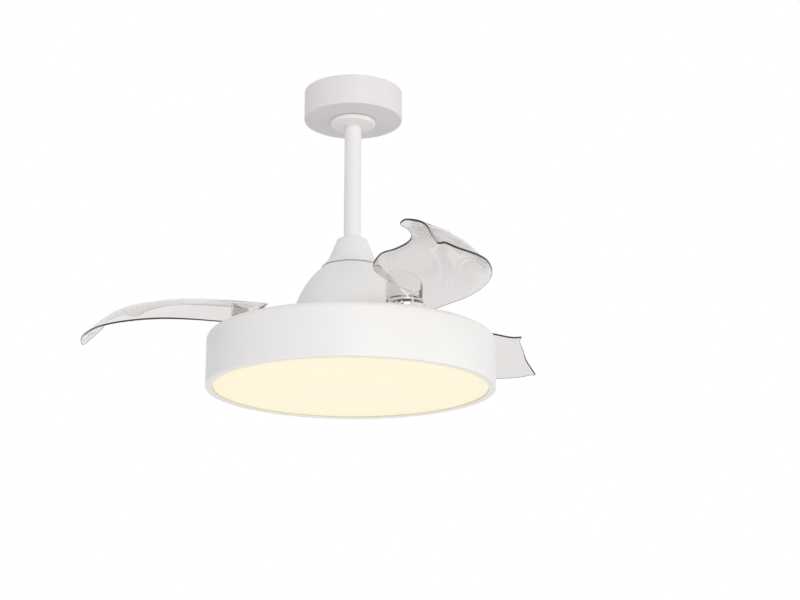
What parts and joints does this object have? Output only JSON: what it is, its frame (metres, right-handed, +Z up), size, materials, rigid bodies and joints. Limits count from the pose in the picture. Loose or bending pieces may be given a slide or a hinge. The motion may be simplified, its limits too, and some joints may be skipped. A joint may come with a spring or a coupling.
{
  "type": "retractable blade ceiling fan",
  "caption": "White ceiling fan with a round lamp drum, a short rod and canopy, and clear curved blades that fold away over the drum.",
  "frame": {"origin": "centre of the ceiling plane that the bracket and canopy press against", "axes": "+Z up along the rod to the ceiling, +X to the right and +Y away from the viewer in the picture"},
  "size_m": [0.8518, 0.8658, 0.55],
  "materials": {
    "white_paint": "white powder coat, satin",
    "zinc_steel": "zinc plated steel",
    "dark_steel": "machined steel, oiled",
    "copper_wire": "enamelled copper wire",
    "black_ferrite": "sintered ferrite magnet",
    "clear_acrylic": "clear moulded acrylic",
    "opal_acrylic": "opal acrylic lit from behind",
    "white_plastic": "moulded white plastic"
  },
  "bodies": {
    "fan_body": {"ceiling_bracket": "zinc_steel", "canopy_shell": "white_paint", "canopy_screw_left": "zinc_steel", "canopy_screw_right": "zinc_steel", "canopy_trim_ring": "white_paint", "hanger_ball": "white_plastic", "downrod": "white_paint", "hanger_pin": "zinc_steel", "motor_yoke": "zinc_steel", "clevis_pin": "zinc_steel", "cotter_clip": "zinc_steel", "yoke_set_screw": "dark_steel", "coupling_cover": "white_paint", "motor_dome": "white_paint", "dome_screw_left": "zinc_steel", "dome_screw_right": "zinc_steel", "motor_shaft": "zinc_steel", "stator_core": "dark_steel", "stator_winding_upper": "copper_wire", "stator_winding_lower": "copper_wire", "shaft_spacer": "zinc_steel", "drum_shell": "white_paint", "lamp_mount_plate": "zinc_steel", "drum_screw_1": "zinc_steel", "drum_screw_2": "zinc_steel", "drum_screw_3": "zinc_steel", "shaft_nut": "zinc_steel", "led_board": "white_plastic", "led_driver": "white_plastic", "motor_controller": "white_plastic", "diffuser": "opal_acrylic", "diffuser_clip_1": "zinc_steel", "diffuser_clip_2": "zinc_steel", "diffuser_clip_3": "zinc_steel"},
    "rotor": {"rotor_housing": "zinc_steel", "rotor_cover": "zinc_steel", "magnet_ring": "black_ferrite", "upper_bearing": "dark_steel", "lower_bearing": "dark_steel", "blade_carrier": "white_paint", "ring_guide_1": "white_plastic", "ring_guide_2": "white_plastic", "ring_guide_3": "white_plastic", "pivot_post_a": "zinc_steel", "pivot_nut_a": "zinc_steel", "return_spring_a": "zinc_steel", "pivot_post_b": "zinc_steel", "pivot_nut_b": "zinc_steel", "return_spring_b": "zinc_steel", "pivot_post_c": "zinc_steel", "pivot_nut_c": "zinc_steel", "return_spring_c": "zinc_steel"},
    "sync_ring": {"sync_ring": "dark_steel"},
    "blade_a": {"blade_a": "clear_acrylic", "blade_hub_a": "dark_steel"},
    "blade_b": {"blade_b": "clear_acrylic", "blade_hub_b": "dark_steel"},
    "blade_c": {"blade_c": "clear_acrylic", "blade_hub_c": "dark_steel"}
  },
  "joints": [
    {"name": "rotor_spin", "type": "hinge", "parent": "fan_body", "child": "rotor", "pos_m": [0, 0, -0.438], "axis": [0, 0, 1], "continuous": true},
    {"name": "blade_a_fold", "type": "hinge", "parent": "rotor", "child": "blade_a", "pos_m": [0.09125, -0.15805, -0.438], "axis": [0, 0, 1], "range_deg": [-112, 0]},
    {"name": "blade_b_fold", "type": "hinge", "parent": "rotor", "child": "blade_b", "pos_m": [-0.1825, 0, -0.438], "axis": [0, 0, 1], "range_deg": [-112, 0]},
    {"name": "blade_c_fold", "type": "hinge", "parent": "rotor", "child": "blade_c", "pos_m": [0.09125, 0.15805, -0.438], "axis": [0, 0, 1], "range_deg": [-112, 0]},
    {"name": "sync_ring_turn", "type": "hinge", "parent": "rotor", "child": "sync_ring", "pos_m": [0, 0, -0.446], "axis": [0, 0, 1], "range_deg": [0, 28]}
  ],
  "couplings": [
    {"joint": "blade_b_fold", "follows": "blade_a_fold", "ratio": 1},
    {"joint": "blade_c_fold", "follows": "blade_a_fold", "ratio": 1},
    {"joint": "sync_ring_turn", "follows": "blade_a_fold", "ratio": -0.25}
  ]
}
